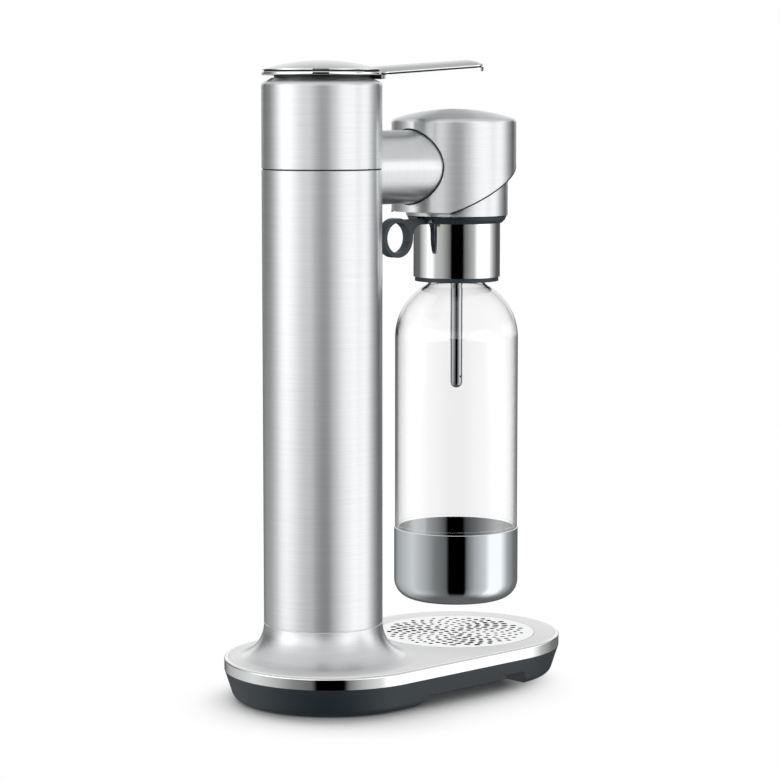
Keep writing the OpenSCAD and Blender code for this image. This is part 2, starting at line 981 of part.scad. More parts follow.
// Rod with a domed head, pushed by the lever and standing over the valve pin
module push_rod() {
    dome_h = 3;
    dome = (rod_head_r * rod_head_r + dome_h * dome_h) / (2 * dome_h);
    color(steel)
        at_column() {
            bar(rod_r, nose_top + seal_t + play, rod_top - dome_h);
            bar(rod_head_r, head_low, rod_top - dome_h);
            intersection() {
                translate([0, 0, rod_top - dome])
                    sphere(dome);
                bar(rod_head_r, rod_top - dome_h - nick, rod_top);
            }
        }
}

// Centre line of the spring: a helix that is flat at both ends
function spring_lift(u) = u - sin(360 * u) / 360 * 2;
function spring_point(u) =
    [spring_r * cos(360 * curls * u), spring_r * sin(360 * curls * u),
     spring_low + wire_r + (spring_high - spring_low - 2 * wire_r) * spring_lift(u)];
function spring_ring(u) =
    let (c = spring_point(u), a = 360 * curls * u)
    [for (k = [0 : spring_sides - 1])
        c + wire_r * (cos(360 * k / spring_sides) * [cos(a), sin(a), 0] + sin(360 * k / spring_sides) * [0, 0, 1])];

module return_spring() {
    count = curls * spring_steps;
    rings = [for (i = [0 : count]) spring_ring(i / count)];
    points = [for (r = rings) each r];
    sides = [
        for (i = [0 : count - 1], k = [0 : spring_sides - 1])
            let (a = i * spring_sides + k, b = i * spring_sides + (k + 1) % spring_sides)
            each [[a, a + spring_sides, b], [b, a + spring_sides, b + spring_sides]]
    ];
    last = count * spring_sides;
    ends = [
        for (k = [1 : spring_sides - 2])
            each [[0, k, k + 1], [last, last + k + 1, last + k]]
    ];
    gap = min([for (i = [0 : count - spring_steps])
        norm(spring_point((i + spring_steps) / count) - spring_point(i / count))]) - 2 * wire_r;
    echo(least_gap_between_curls = gap);
    color(steel)
        at_column()
            polyhedron(points = points, faces = concat(sides, ends));
}

// Plate on the valve block with two ears that carry the lever's pin
module lever_bracket() {
    plate_half = lug_half + run + ear_t;
    color(steel)
        difference() {
            union() {
                at_column()
                    bar(block_r, block_top, block_top + bracket_t);
                translate([-plate_half, col_y, block_top])
                    cube([2 * plate_half, hinge_back + ear_r, bracket_t]);
                for (side = [0, 1])
                    mirror([side, 0, 0])
                        translate([lug_half + run, hinge_y, block_top]) {
                            translate([0, -ear_r, 0])
                                cube([ear_t, 2 * ear_r, hinge_z - block_top]);
                            translate([ear_t / 2, 0, hinge_z - block_top])
                                bar_x(ear_r, ear_t / 2);
                        }
            }
            at_column()
                bar(rod_head_r + nick, 0, deep);
            translate([0, hinge_y, hinge_z])
                bar_x(pin_r + play, plate_half + nick);
        }
}

module lever_pin() {
    color(steel)
        translate([0, hinge_y, hinge_z])
            bar_x(pin_r, lug_half + run + ear_t + nick);
}

// Dished disc: edge band, shadow groove, spherical dome and hollow underside
module lever_disc_profile() {
    difference() {
        union() {
            translate([0, rim_z])
                soft_edge(lever_r, rim_band, rim_round);
            translate([0, rim_z + rim_band - bite])
                square([lever_r - groove_inset, groove_h + 2 * bite]);
            intersection() {
                translate([0, dome_c])
                    circle(dome_r);
                translate([0, rim_z + rim_band + groove_h])
                    square([dome_edge, dome_lip + lever_dome + nick]);
            }
        }
        intersection() {
            translate([0, dome_c])
                circle(dome_r - lever_t);
            translate([0, rim_z - nick])
                square([lever_r - rim_w, rim_h + lever_dome]);
        }
    }
}

// Plan of the tongue with a round tip and fillets into the disc, drawn in by q from its edge,
// from the column's axis towards -Y
module tongue_plan(q) {
    share = (lever_r - q) / (lever_r + tongue_fillet);
    difference() {
        union() {
            translate([q - tongue_half, -tongue_tip])
                square([2 * (tongue_half - q), tongue_tip]);
            translate([0, -tongue_tip])
                circle(tongue_half - q);
            difference() {
                polygon([
                    [0, 0], share * [fillet_x, -fillet_y], [fillet_x, -fillet_y],
                    [-fillet_x, -fillet_y], share * [-fillet_x, -fillet_y]
                ]);
                for (s = [-1, 1])
                    translate([s * fillet_x, -fillet_y])
                        circle(tongue_fillet + q);
            }
        }
        circle(root_in);
    }
}

// Places at the tongue's root, with -Y along its slope
module on_tongue() {
    translate([0, col_y, tongue_z])
        rotate([-tongue_slope, 0, 0])
            children();
}

// Layer of the tongue between two heights over its underside, drawn in by q from its edge
module tongue_layer(low, high, q) {
    intersection() {
        translate([0, col_y, rim_z - deep / 2])
            linear_extrude(deep)
                tongue_plan(q);
        on_tongue()
            rotate([90, 0, 0])
                linear_extrude(2 * tongue_reach)
                    translate([-fillet_x, low])
                        square([2 * fillet_x, high - low]);
    }
}

// Round bar along the tongue that ends in a ball at its tip, and gives the tongue its crown
module crown_bar() {
    on_tongue()
        translate([0, 0, crown_low + dome_lip + tongue_crown - crown_r])
            rotate([90, 0, 0])
                rotate_extrude() {
                    square([crown_r, crown_len]);
                    translate([0, crown_len])
                        intersection() {
                            circle(crown_r);
                            square(crown_r);
                        }
                }
}

// Tongue with its edge band, shadow groove and crown, clear of the column under the rim
module tongue() {
    difference() {
        union() {
            tongue_layer(0, tongue_band, 0);
            tongue_layer(tongue_band - bite, crown_low + bite, groove_inset);
            tongue_layer(crown_low, crown_low + dome_lip, dome_inset);
            intersection() {
                tongue_layer(crown_low + dome_lip - bite, crown_low + 2 * tongue_crown, dome_inset);
                crown_bar();
            }
        }
        at_column()
            bar(root_r, 0, rim_z + rim_band / 2);
    }
}

module lever() {
    color(satin)
        difference() {
            union() {
                at_column()
                    rotate_extrude()
                        lever_disc_profile();
                tongue();
                intersection() {
                    at_column()
                        translate([0, 0, dome_c])
                            sphere(dome_r - lever_t / 2);
                    union() {
                        translate([-lug_half, hinge_y - pin_r - nick, hinge_z])
                            cube([2 * lug_half, 2 * (pin_r + nick), lever_top - hinge_z]);
                        translate([0, hinge_y, hinge_z])
                            bar_x(knuckle_r, lug_half);
                        at_column()
                            bar(boss_half, boss_bottom, lever_top);
                    }
                }
            }
            translate([0, hinge_y, hinge_z])
                bar_x(pin_r + play, lug_half + nick);
        }
}

// Arm and head

module arm_tube() {
    color(steel)
        difference() {
            translate([0, 0, arm_z])
                difference() {
                    bar_y(arm_r, bottle_y, col_y - block_r / 2);
                    bar_y(arm_r - arm_wall, bottle_y - nick, col_y);
                }
            at_column()
                bar(block_r + run, 0, deep);
            at_bottle()
                bar(core_r + run, 0, deep);
        }
}

// Rubber ring round the arm, just under the drum's face
module arm_seal() {
    color(rubber)
        intersection() {
            translate([0, 0, arm_z])
                difference() {
                    bar_y(arm_r + arm_gap - fit, head_y, col_y);
                    bar_y(arm_r + play, head_y - nick, col_y + nick);
                }
            translate([0, head_y, 0])
                ring(head_r - head_wall / 4, head_r - head_wall, 0, deep);
        }
}

// Outer or inner section of the drum: straight wall, rounded shoulder and shallow dome
module drum_profile(inset) {
    r = head_r - inset;
    q = head_round - inset / 2;
    sphere_r = dome_sphere - inset;
    sphere_z = head_top - dome_sphere;
    corner_z = sphere_z + sqrt(pow(sphere_r - q, 2) - pow(r - q, 2));
    touch_r = (r - q) * sphere_r / (sphere_r - q);
    translate([0, head_bottom - inset])
        square([r, corner_z - head_bottom + inset]);
    intersection() {
        translate([0, sphere_z])
            circle(sphere_r);
        translate([0, head_bottom])
            square([touch_r, head_top]);
    }
    translate([r - q, corner_z])
        intersection() {
            circle(q);
            square(q);
        }
}

module head_shell() {
    color(steel)
        difference() {
            translate([0, head_y, 0])
                rotate_extrude()
                    difference() {
                        drum_profile(0);
                        drum_profile(head_wall);
                    }
            translate([0, head_y, arm_z])
                bar_y(arm_r + arm_gap, 0, head_r + nick);
            translate([0, head_y + slant_back, head_bottom])
                rotate([-slant, 0, 0])
                    translate([-slant_deep, -2 * slant_deep, -slant_deep])
                        cube([2 * slant_deep, 2 * slant_deep, slant_deep]);
        }
}

module head_core() {
    post_r = pipe_r + deck_wall;
    post_top = head_top - head_wall - nick;
    color(steel)
        difference() {
            at_bottle() {
                bar(core_r, core_low, core_top);
                bar(post_r, core_top - nick, post_top);
            }
            at_bottle() {
                bar(core_bore, core_low - nick, socket_top);
                bar(nozzle_r + play, core_low, nozzle_top);
                bar(pipe_r + play, core_low, pipe_z);
            }
            translate([0, 0, pipe_z])
                bar_y(pipe_r + play, bottle_y, col_y);
            translate([0, bottle_y, pipe_z])
                sphere(pipe_r + play);
        }
}

module head_socket() {
    color(slate)
        at_bottle()
            difference() {
                bar(core_bore - fit, core_low + fit, socket_top);
                bar(plug_r + run, core_low, roof_z);
                bar(nozzle_r + play, core_low, socket_top + nick);
            }
}

module head_seal() {
    color(rubber)
        at_bottle()
            ring(plug_r / 2, nozzle_r + fit, seal_z, roof_z);
}

module gas_nozzle() {
    color(brass)
        at_bottle()
            ring(nozzle_r, nozzle_r / 2, nozzle_low, nozzle_top);
}

// Pipe from the valve block through the arm, with an elbow over the nozzle
module gas_pipe() {
    color(steel)
        difference() {
            union() {
                translate([0, 0, pipe_z])
                    bar_y(pipe_r, bottle_y, col_y - chamber_r - nick);
                translate([0, bottle_y, pipe_z])
                    sphere(pipe_r);
                at_bottle()
                    bar(pipe_r, nozzle_top, pipe_z);
            }
            translate([0, 0, pipe_z])
                bar_y(pipe_r / 2, bottle_y, col_y);
            at_bottle()
                bar(pipe_r / 2, nozzle_top - nick, pipe_z);
        }
}

// Cap and bottle

module lip_profile() {
    polygon([
        [0, lip_z], [lip_foot_r - lip_chamfer, lip_z], [lip_foot_r, lip_z + lip_chamfer],
        [lip_r, lip_z + lip_h], [0, lip_z + lip_h]
    ]);
}

module cap_body() {
    color(slate)
        difference() {
            at_bottle()
                difference() {
                    union() {
                        rotate_extrude()
                            lip_profile();
                        bar(plug_r, lip_z, plug_top);
                        bar(skirt_r, collar_bottom, lip_z + nick);
                    }
                    bar(skirt_in, collar_bottom - nick, cap_under);
                    bar(dip_r + play, cap_under - nick, dip_top);
                    bar(nozzle_r + run, dip_top, plug_top + nick);
                }
            translate([-hook_half, hook_y - hook_r - run, lip_z - nick])
                cube([2 * hook_half, lip_r, lip_h + 2 * nick]);
            translate([0, hook_y, hook_z])
                bar_x(ring_pin_r + play, ring_pin_half + nick);
        }
}

module cap_collar() {
    color(mirror_steel)
        at_bottle()
            ring(collar_r, skirt_r + fit, collar_bottom, lip_z);
}

module cap_base_ring() {
    color(slate)
        at_bottle()
            ring(collar_r - nick, skirt_in, collar_bottom - cap_ring_h, collar_bottom);
}

module cap_gasket() {
    color(rubber)
        at_bottle()
            ring(bottle_neck_r, bottle_neck_r - 2 * bottle_wall, mouth_z + play, cap_under);
}

// Steel tube with a round tip and two cross holes near it
module dip_tube() {
    color(steel)
        at_bottle()
            difference() {
                union() {
                    bar(dip_r, dip_tip + dip_r, dip_top);
                    translate([0, 0, dip_tip + dip_r])
                        sphere(dip_r);
                }
                bar(dip_r - dip_wall, dip_tip + dip_r, dip_top + nick);
                translate([0, 0, dip_tip + 2 * dip_r])
                    bar_x(dip_wall, dip_r + nick);
            }
}

// Finger loop with a knuckle on the cap's pin and a web between them, rounded underneath
module release_ring() {
    web_low = hook_z - hook_r;
    web_high = hook_z + hook_r / 2;
    web_c = [
        ring_y - sqrt(pow(ring_r + web_round, 2) - pow(web_low - web_round - ring_z, 2)),
        web_low - web_round
    ];
    color(slate)
        difference() {
            union() {
                translate([0, ring_y, ring_z])
                    bar_x(ring_r, ring_w / 2);
                translate([0, hook_y, hook_z])
                    bar_x(hook_r, ring_w / 2);
                translate([-ring_w / 2, 0, 0])
                    rotate([90, 0, 90])
                        linear_extrude(ring_w)
                            difference() {
                                polygon([
                                    [hook_y, web_high], [ring_y, web_high], [ring_y, ring_z], web_c,
                                    [web_c[0], web_low], [hook_y, web_low]
                                ]);
                                translate(web_c)
                                    circle(web_round + bite);
                            }
            }
            translate([0, ring_y, ring_z])
                bar_x(ring_r - ring_wall, ring_w);
            translate([0, hook_y, hook_z])
                bar_x(ring_pin_r + play, ring_w);
        }
}

module ring_pin() {
    color(steel)
        translate([0, hook_y, hook_z])
            bar_x(ring_pin_r, ring_pin_half);
}

// Section of the bottle, drawn inwards by an inset: body, round shoulder, fillet and neck
module bottle_profile(inset) {
    body = bottle_r - inset;
    low_body = bottle_low_r - inset;
    neck = bottle_neck_r - inset;
    arc = shoulder_arc - inset;
    fillet = neck_fillet + inset;
    low = bottle_low + inset;
    corner = cup_round - cup_wall - inset;
    fillet_c = [bottle_neck_r + neck_fillet, fillet_z];
    touch = [shoulder_mid, bottle_shoulder]
        + arc / (shoulder_arc + neck_fillet) * (fillet_c - [shoulder_mid, bottle_shoulder]);
    translate([0, low + corner])
        square([low_body, cup_top - low - corner]);
    translate([0, low])
        square([low_body - corner, 2 * corner]);
    translate([low_body - corner, low + corner])
        circle(corner);
    translate([0, cup_top + fit + inset])
        square([body, bottle_shoulder - cup_top - fit - inset]);
    translate([0, cup_top - nick])
        square([low_body, 3 * nick + inset]);
    intersection() {
        translate([shoulder_mid, bottle_shoulder])
            circle(arc);
        translate([0, bottle_shoulder - nick])
            square([body, 2 * shoulder_arc]);
    }
    translate([0, bottle_shoulder])
        square([shoulder_mid, arc]);
    translate([0, bottle_shoulder])
        square([neck, mouth_z - bottle_shoulder]);
    difference() {
        polygon([[0, bottle_shoulder], touch, fillet_c, [neck, fillet_z], [0, fillet_z]]);
        translate(fillet_c)
            circle(fillet);
    }
}

module bottle() {
    color(clear)
        at_bottle()
            difference() {
                rotate_extrude()
                    bottle_profile(0);
                rotate_extrude()
                    bottle_profile(bottle_wall);
                bar(bottle_neck_r - bottle_wall, bottle_shoulder, mouth_z + nick);
            }
}

module bottle_cup_profile(inset) {
    corner = cup_round - inset;
    low = cup_bottom + inset;
    r = cup_r - inset;
    translate([0, low])
        square([r - corner, cup_top - low]);
    translate([0, low + corner])
        square([r, cup_top - low - corner]);
    translate([r - corner, low + corner])
        circle(corner);
}

module bottle_cup() {
    color(mirror_steel)
        at_bottle()
            difference() {
                rotate_extrude()
                    bottle_cup_profile(0);
                rotate_extrude() {
                    bottle_cup_profile(cup_wall);
                    translate([0, cup_top - nick])
                        square([cup_r - cup_wall, 2 * nick]);
                }
            }
}

base_skid();
base_deck();
tray_well();
edge_band();
rubber_feet();
base_screws();
hatch_cover();
drip_cup();
drip_grille();
column_tube();
upper_sleeve();
seam_gasket();
inner_frame();
co2_cylinder();
cylinder_valve();
valve_pin();
valve_seal();
valve_block();
push_rod();
return_spring();
lever_bracket();
lever_pin();
lever();
lever_neck();
arm_tube();
arm_seal();
gas_pipe();
head_shell();
head_core();
head_socket();
head_seal();
gas_nozzle();
cap_body();
cap_collar();
cap_base_ring();
cap_gasket();
dip_tube();
release_ring();
ring_pin();
bottle();
bottle_cup();
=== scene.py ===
"""Finishes, studio and camera for a lever-operated sparkling water maker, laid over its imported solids."""

import math

import bmesh
import bpy
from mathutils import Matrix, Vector
from mathutils.bvhtree import BVHTree


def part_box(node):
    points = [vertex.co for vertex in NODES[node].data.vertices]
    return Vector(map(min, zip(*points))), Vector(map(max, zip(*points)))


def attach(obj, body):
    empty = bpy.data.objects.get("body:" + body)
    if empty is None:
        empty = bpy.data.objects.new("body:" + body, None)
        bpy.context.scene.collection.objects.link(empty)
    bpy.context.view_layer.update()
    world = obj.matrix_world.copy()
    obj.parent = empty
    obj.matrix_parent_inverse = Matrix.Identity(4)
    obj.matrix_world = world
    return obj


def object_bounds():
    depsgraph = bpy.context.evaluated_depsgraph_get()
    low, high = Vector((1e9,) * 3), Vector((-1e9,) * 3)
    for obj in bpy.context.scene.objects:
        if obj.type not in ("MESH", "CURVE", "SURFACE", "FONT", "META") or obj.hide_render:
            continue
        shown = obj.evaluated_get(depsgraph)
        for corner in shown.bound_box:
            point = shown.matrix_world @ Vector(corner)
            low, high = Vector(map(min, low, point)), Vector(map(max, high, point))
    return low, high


bl_info = {
    "name": "Sparkling Water Maker Finishes",
    "version": (1, 0, 0),
    "blender": (4, 5, 0),
    "location": "View3D > Sidebar > Water Maker",
    "description": "Dresses the sparkling water maker in its metals and plastics and sets its studio",
    "category": "Object",
}

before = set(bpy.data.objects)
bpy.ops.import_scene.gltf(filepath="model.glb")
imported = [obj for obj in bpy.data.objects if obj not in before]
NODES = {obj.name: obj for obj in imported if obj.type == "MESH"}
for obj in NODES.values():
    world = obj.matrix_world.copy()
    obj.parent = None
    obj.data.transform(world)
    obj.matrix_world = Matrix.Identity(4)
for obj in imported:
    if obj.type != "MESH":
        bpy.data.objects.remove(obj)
CAD_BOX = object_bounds()
MM = 0.001
UP = Vector((0, 0, 1))

# Sockets of a colour mix and of a number mix
MIX_COLOUR_A, MIX_COLOUR_B, MIX_COLOUR_OUT = 6, 7, 2
MIX_NUMBER_A, MIX_NUMBER_B = 2, 3

# Widths of the soft patches and waves in the finishes
BUFFING_PATCH = 20 * MM
BLASTING_PATCH = 30 * MM
MOULDING_PATCH = 40 * MM
BLOWING_WAVE = 25 * MM
# Blasted pits are about 0.08 mm wide, too fine to show, so they are drawn wider.
BLASTED_PIT = 0.6 * MM

# Roughness of the metals, from their smoothest spots to their roughest
MIRROR = (0.03, 0.07)
SMOOTH = (0.2, 0.3)
FINE_SATIN = (0.22, 0.27)
DRAWN = (0.25, 0.35)
BRUSHED = (0.29, 0.36)
SATIN = (0.3, 0.36)
PLATED = (0.3, 0.4)
DULL = (0.4, 0.5)

# Roughness of the moulded pieces, and how far the grain moves it either way
CAP_ROUGH = 0.4
SKID_ROUGH = 0.42
SOCKET_ROUGH = 0.45
TRAY_ROUGH = 0.5
# Roughness of the dark colour painted as shade in the lever's groove
GROOVE_SHADE_ROUGH = 0.6
SEAL_ROUGH = 0.7
FEET_ROUGH = 0.75
GRAIN_ROUGH = 0.06

# Strength of the blasted relief on most metals and on the lever, which is blasted finer
BLASTED_RELIEF = 0.05
FINE_RELIEF = 0.005
# Share of bare metal in the deck's plating
DECK_METAL = 0.6

# Brightness of a brush line's hollow, of a moulding's darker patches and of the cup's shaded inside
HOLLOW_SHARE = 0.8
PATCH_SHARE = 0.9
SHADED_SHARE = 0.45

# Limits on the Z of a face's normal: an upright face, the lever's top, the deck's level part
UPRIGHT = 0.5
LEVER_TOP = 0.75
DECK_LEVEL = 0.93
# Widest gap that counts as the lever's groove, and the part of it by which a test ray starts off the face
LEVER_GROOVE = 2 * MM
RAY_START = 1 / 8

# Faces of the drum's slanted mouth look down and to the front: upper limits on the Z and Y of their normals
MOUTH_DOWN = -0.5
MOUTH_FRONT = -0.2
# Band of the mouth that counts as its outer edge, how far the trim stands out from it, and its depth inwards
RIM_BAND = 0.3 * MM
TRIM_PROUD = 0.1 * MM
TRIM_DEPTH = 1.0 * MM
# Corners of the rim are told apart by their angle in radians, to this many digits.
ANGLE_DIGITS = 3

FLOOR_CORNERS = 128
# Distance that the camera sees beyond one width of the floor, in metres
CLIP_MARGIN = 10
# Softboxes: angle to the right of the camera and height angle in degrees,
# then distance, width and height in metres, then power in watts
LAMPS = {
    "key_softbox": (145, 48, 1.6, 1.1, 1.1, 11.0),
    "fill_softbox": (-145, 48, 1.6, 1.1, 1.1, 11.0),
    "top_softbox": (0, 90, 1.9, 1.4, 1.4, 5.0),
}

# Studio seen in reflections: light levels by the angle to the right of the camera, in degrees
TURN_START, TURN_SPAN = -180, 360
# Cards at eye height: a black flag round the camera, grey cards beside it, a softbox on either side,
# and dark wings behind
CARDS = (
    (-180, 0.1),
    (-120, 0.15),
    (-90, 0.9),
    (-85, 1.2),
    (-70, 1.2),
    (-60, 0.6),
    (-40, 0.45),
    (-20, 0.15),
    (-15, 0),
    (15, 0),
    (20, 0.15),
    (45, 0.5),
    (55, 1.1),
    (65, 1.6),
    (90, 1.6),
    (100, 0.85),
    (115, 0.35),
    (130, 0.1),
    (180, 0.1),
)
# The cards' lower ends, which the cup and the edge band mirror
LOW_CARDS = (
    (-180, 0.05),
    (-160, 0.15),
    (-140, 0.45),
    (-90, 0.8),
    (-60, 0.5),
    (-40, 0.25),
    (-20, 0.15),
    (-15, 0),
    (15, 0),
    (20, 0.2),
    (35, 0.5),
    (55, 0.8),
    (65, 1.3),
    (90, 1.3),
    (110, 0.5),
    (135, 0.2),
    (180, 0.1),
)
# Strip lights that hang over the cards: a broad one to the left, a dim gap over the camera, two to the right
STRIPS = (
    (-180, 0.2),
    (-115, 0),
    (-100, 0.5),
    (-75, 2.8),
    (-60, 3),
    (-35, 2),
    (-10, 2.2),
    (0, 1.2),
    (25, 1.5),
    (45, 2.6),
    (60, 1.6),
    (75, 0.6),
    (100, 1.7),
    (120, 0.5),
    (140, 0),
    (180, 0.2),
)
# Backdrop behind the object, by the height of the direction: white at the horizon, grey higher up
BACKDROP = ((0.0, 1.0), (0.22, 1.0), (0.38, 0.8), (0.58, 0.45), (0.8, 0.45))
# Levels of the grey ceiling and of the ground straight below
CEILING_LEVEL = 0.7
GROUND_LEVEL = 0.15
# Heights of the direction between which one zone of the studio fades into the next
LOW_FADE = (-0.09, -0.13)
FRONT_FADE = (0.03, 0.07)
REAR_FADE = (-0.02, 0.04)
CEILING_FADE = (0.16, 0.34)
GROUND_FADE = (-0.6, -0.95)
# Turns from the camera, in radians, between which the strip lights give way to the backdrop
BEHIND_FADE = (2.45, 2.85)
# Half width of the black flag in radians, and how much higher than the cards it reaches
FLAG_TURN = 0.28
FLAG_RISE = 0.06
# Between no reflection and the first
ONE_REFLECTION = 0.5


def linear(code):
    """Linear colour with alpha from an sRGB hex code such as #8a9096."""
    parts = [int(code[i : i + 2], 16) / 255 for i in (1, 3, 5)]
    return tuple(p / 12.92 if p <= 0.04045 else ((p + 0.055) / 1.055) ** 2.4 for p in parts) + (1.0,)


def darker(colour, share):
    """The same colour at a share of its brightness."""
    return [c * share for c in colour[:3]] + [1.0]


def add(tree, kind, inputs=None, **settings):
    """Adds one node, sets it, and gives each named input a value or a link from another node's output."""
    node = tree.nodes.new(kind)
    for name, value in settings.items():
        setattr(node, name, value)
    for socket, value in (inputs or {}).items():
        if isinstance(value, bpy.types.NodeSocket):
            tree.links.new(value, node.inputs[socket])
        else:
            node.inputs[socket].default_value = value
    return node


def maths(tree, operation, *values):
    """One operation on numbers."""
    return add(tree, "ShaderNodeMath", dict(enumerate(values)), operation=operation).outputs[0]


def vector_maths(tree, operation, *values):
    """One operation on vectors."""
    return add(tree, "ShaderNodeVectorMath", dict(enumerate(values)), operation=operation)


def blend(tree, share, first, second):
    """Number that a share takes from a first one to a second."""
    return add(tree, "ShaderNodeMix", {0: share, MIX_NUMBER_A: first, MIX_NUMBER_B: second}).outputs[0]


def tint(tree, share, first, second):
    """Colour that a share takes from a first one to a second."""
    inputs = {0: share, MIX_COLOUR_A: first, MIX_COLOUR_B: second}
    return add(tree, "ShaderNodeMix", inputs, data_type="RGBA").outputs[MIX_COLOUR_OUT]


def spread(tree, value, limits):
    """Number between two limits from one between 0 and 1."""
    inputs = {"Value": value, "To Min": limits[0], "To Max": limits[1]}
    return add(tree, "ShaderNodeMapRange", inputs).outputs[0]


def fade(tree, value, limits):
    """Smooth share that goes from 0 at the first limit to 1 at the second."""
    inputs = {"Value": value, "From Min": limits[0], "From Max": limits[1]}
    return add(tree, "ShaderNodeMapRange", inputs, interpolation_type="SMOOTHSTEP").outputs[0]


def ramp(tree, value, steps, start, span):
    """Light level read off a list of steps along a span."""
    node = add(tree, "ShaderNodeValToRGB", {"Fac": value})
    stops = node.color_ramp.elements
    # A new stop starts in the middle and is moved to its own place below.
    while len(stops) < len(steps):
        stops.new(0.5)
    for stop, (at, level) in zip(stops, steps):
        stop.position = (at - start) / span
        stop.color = (level, level, level, 1)
    return node.outputs["Color"]


def place(tree):
    """Place on the object, in metres."""
    return add(tree, "ShaderNodeTexCoord").outputs["Object"]


def noise(tree, width, detail):
    """Noise whose patches have a real width."""
    inputs = {"Vector": place(tree), "Scale": 1 / width, "Detail": detail}
    return add(tree, "ShaderNodeTexNoise", inputs).outputs[0]


def bump(tree, height, strength, distance, **more):
    """Normal bent by a height."""
    inputs = {"Height": height, "Strength": strength, "Distance": distance, **more}
    return add(tree, "ShaderNodeBump", inputs).outputs[0]


def seen_directly(tree, path):
    """1 for a ray that comes from the camera or through the bottle, and 0 for any other."""
    return maths(tree, "MAXIMUM", path.outputs["Is Camera Ray"], path.outputs["Is Transmission Ray"])


def blank(name):
    """New material with an empty node tree."""
    material = bpy.data.materials.new(name)
    material.use_nodes = True
    material.node_tree.nodes.clear()
    return material, material.node_tree


def close(tree, shader):
    """Joins a shader to the material's output."""
    add(tree, "ShaderNodeOutputMaterial", {"Surface": shader.outputs[0]})


def dress(material, *nodes):
    """Gives CAD nodes one finish."""
    for name in nodes:
        slots = NODES[name].data.materials
        slots.clear()
        slots.append(material)


def dress_where(material, node, test):
    """Gives the faces of a CAD node that pass a test a further finish."""
    mesh = NODES[node].data
    mesh.materials.append(material)
    for face in mesh.polygons:
        if test(face):
            face.material_index = len(mesh.materials) - 1


def middle(node):
    """Middle of a CAD node's box."""
    low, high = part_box(node)
    return (low + high) / 2


def upright(face):
    """Test for upright faces."""
    return abs(face.normal.z) < UPRIGHT


def inward(node):
    """Test for upright faces that look at the axis of a CAD node."""
    axis = middle(node)

    def test(face):
        out = face.center - axis
        return upright(face) and out.x * face.normal.x + out.y * face.normal.y < 0

    return test


def in_groove(node, height):
    """Test for faces in a groove of a CAD node that is lower than a height."""
    mesh = NODES[node].data
    tree = BVHTree.FromPolygons([v.co for v in mesh.vertices], [list(f.vertices) for f in mesh.polygons])

    def test(face):
        start = face.center + face.normal * height * RAY_START
        return all(tree.ray_cast(start, way, height)[0] for way in (UP, -UP))

    return test


def colour_prop(name, description, code):
    """Colour property whose default is a hex code."""
    return bpy.props.FloatVectorProperty(
        name=name, description=description, default=linear(code), size=4, min=0, max=1, subtype="COLOR"
    )


def length_prop(name, description, default, low, high):
    """Length property in metres."""
    return bpy.props.FloatProperty(
        name=name, description=description, default=default, min=low, max=high, unit="LENGTH"
    )


class FinishSettings(bpy.types.PropertyGroup):
    """Colours and surface sizes of the finishes."""

    brushed: colour_prop("Brushed steel", "Colour of the column, arm, head and deck flare", "#f5f7f8")
    polished: colour_prop("Polished steel", "Colour of the collar, lever, edge band and grille", "#f0f1f1")
    cup: colour_prop("Cup steel", "Colour of the bottle's cup", "#dbe0e3")
    satin: colour_prop("Satin alloy", "Colour of the deck", "#e6e6e7")
    slate: colour_prop("Slate plastic", "Colour of the skid, cap, neck and release ring", "#1e2c34")
    rubber: colour_prop("Rubber", "Colour of the feet, seals, drip cup and lever groove", "#1c1e20")
    brass: colour_prop("Brass", "Colour of the valve and of the nozzle", "#c2a05a")
    cast: colour_prop("Cast alloy", "Colour of the frame, gas cylinder and small metal pieces", "#a3a8ab")
    clear: colour_prop("Clear plastic", "Tint of the bottle", "#ffffff")
    tube: colour_prop("Drawn tube", "Colour of the dip tube", "#b4b8ba")
    brush_pitch: length_prop("Brush line pitch", "Spacing of the lines as drawn", 1.1 * MM, 0.2 * MM, 4 * MM)
    brush_length: length_prop("Brush line length", "Length of one brush line", 45 * MM, 5 * MM, 200 * MM)
    edge_round: length_prop("Edge rounding", "Rounding that edges of brushed sheet show", 0.5 * MM, 0, 2 * MM)
    # The drum trim is a dark strip drawn as painted shadow under the drum's mouth.
    trim: length_prop("Drum trim", "Height of the trim along the drum's mouth", 0.9 * MM, 0.2 * MM, 2 * MM)
    grain_pitch: length_prop("Moulded grain", "Spacing of plastic grain as drawn", 0.9 * MM, 0.2 * MM, 4 * MM)


class StageSettings(bpy.types.PropertyGroup):
    """Camera, floor and light of the studio."""

    eye: bpy.props.FloatVectorProperty(
        name="Camera place",
        description="Where the camera stands",
        default=(-1.2651, 1.1782, 0.3947),
        subtype="TRANSLATION",
        unit="LENGTH",
    )
    aim: bpy.props.FloatVectorProperty(
        name="Camera direction",
        description="Direction in which the camera looks",
        default=(0.72856, -0.67579, -0.11183),
        subtype="DIRECTION",
    )
    lens: bpy.props.FloatProperty(
        name="Lens",
        description="Focal length over a 36 mm frame",
        default=119.13,
        min=35,
        max=300,
        unit="CAMERA",
    )
    floor_colour: colour_prop("Floor", "Colour of the floor", "#f4f4f4")
    floor_radius: length_prop("Floor radius", "Radius of the floor", 4.0, 0.5, 10)
    fade_start: length_prop("Fade start", "Where the floor starts to whiten, from the base", -0.01, -0.1, 2)
    fade_end: length_prop("Fade end", "Where the floor is white, from the base", 0.05, 0.02, 3)
    shadow_shift: bpy.props.FloatVectorProperty(
        name="Shadow shift",
        description="How far the shadow is moved over the floor",
        default=(-0.014, 0.03, 0),
        subtype="TRANSLATION",
        unit="LENGTH",
    )
    fill: bpy.props.FloatProperty(
        name="Fill light", description="Strength of the even light from all round", default=0.55, min=0, max=2
    )


